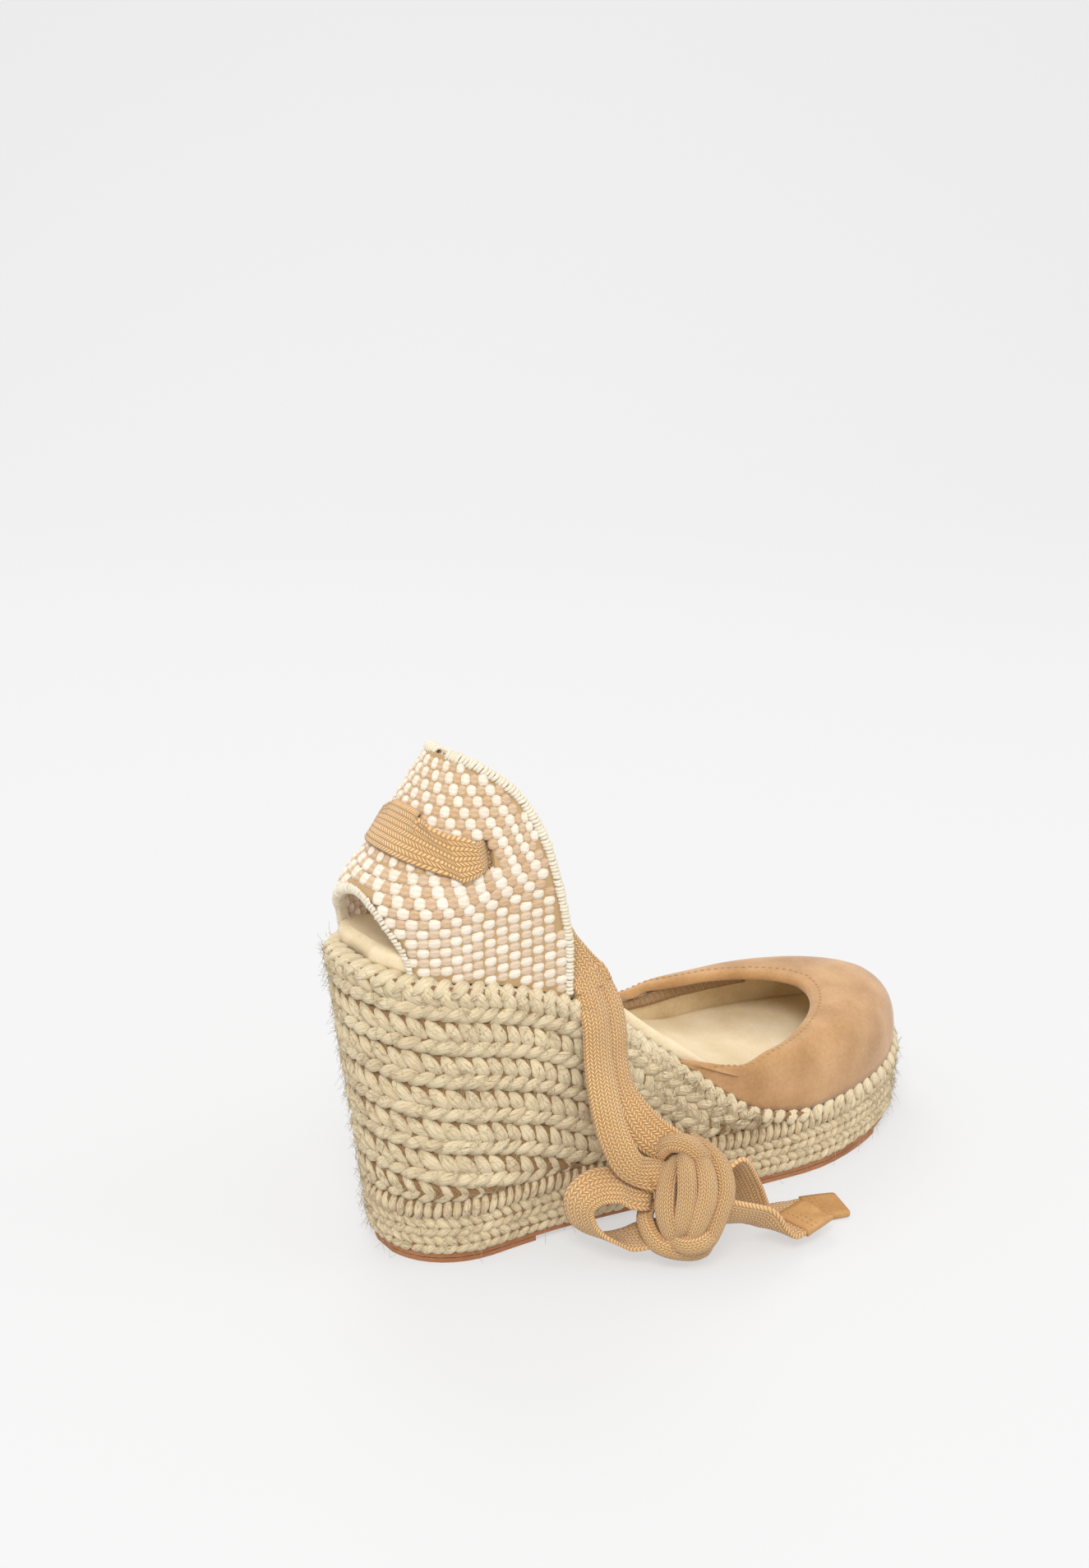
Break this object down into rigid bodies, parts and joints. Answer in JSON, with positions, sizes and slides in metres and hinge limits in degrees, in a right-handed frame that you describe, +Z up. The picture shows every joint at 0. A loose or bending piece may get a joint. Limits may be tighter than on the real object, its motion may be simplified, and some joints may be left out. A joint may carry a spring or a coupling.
{
  "type": "wedge sandal",
  "caption": "Closed-toe espadrille wedge sandal for the right foot: plaited jute wedge, suede vamp, woven heel counter with a cut-out, and a knotted ankle tie.",
  "frame": {"origin": "on the ground, under the middle of the sandal's length and width, without the free ends of the tie", "axes": "+X from heel to toe, +Y towards the inner side of the right foot, +Z up"},
  "size_m": [0.2274, 0.1191, 0.1607],
  "materials": {
    "rubber": "matt terracotta-brown crepe-textured rubber",
    "jute_braid": "coarse plaited natural jute, dry and fibrous",
    "cork_core": "bare agglomerated cork, hidden",
    "eva_core": "bare foam board, hidden",
    "fibreboard": "pressed fibre, hidden",
    "footbed_foam": "soft latex foam, hidden",
    "insole_leather": "smooth cream leather with a fine grain and slight satin sheen",
    "suede": "tan suede with a short brushed nap",
    "lining_leather": "unfinished cream lining leather",
    "woven_cotton": "coarse basket weave of off-white and tan cotton yarn",
    "binding_yarn": "overcast off-white cotton yarn",
    "cotton_tape": "flat plaited golden-tan cotton tape",
    "tip_leather": "smooth tan leather tab with stitches"
  },
  "bodies": {
    "sandal": {"outsole_sheet": "rubber", "heel_tread": "rubber", "forefoot_tread": "rubber", "platform_core": "eva_core", "wedge_core": "cork_core", "insole_board": "fibreboard", "footbed_foam": "footbed_foam", "insole_sock": "insole_leather", "vamp_suede": "suede", "toe_puff": "fibreboard", "vamp_lining": "lining_leather", "heel_counter": "woven_cotton", "counter_edge_binding": "binding_yarn", "cutout_edge_binding": "binding_yarn", "tie_band": "cotton_tape", "wedge_braid_1": "jute_braid", "wedge_braid_2": "jute_braid", "wedge_braid_3": "jute_braid", "wedge_braid_4": "jute_braid", "wedge_braid_5": "jute_braid", "wedge_braid_6": "jute_braid", "wedge_braid_7": "jute_braid", "base_braid_lower": "jute_braid", "base_braid_upper": "jute_braid", "base_stitched_row": "jute_braid", "near_lead": "cotton_tape", "far_lead": "cotton_tape"},
    "tie": {"near_strand": "cotton_tape", "far_strand": "cotton_tape", "bow_loop": "cotton_tape", "bow_knot": "cotton_tape", "near_tail": "cotton_tape", "far_tail": "cotton_tape", "near_tip": "tip_leather", "far_tip": "tip_leather"}
  },
  "joints": [
    {"name": "tie_swing", "type": "hinge", "parent": "sandal", "child": "tie", "pos_m": [-0.03701, -0.02737, 0.0855], "axis": [-1, 0, 0], "range_deg": [0, 60]}
  ]
}
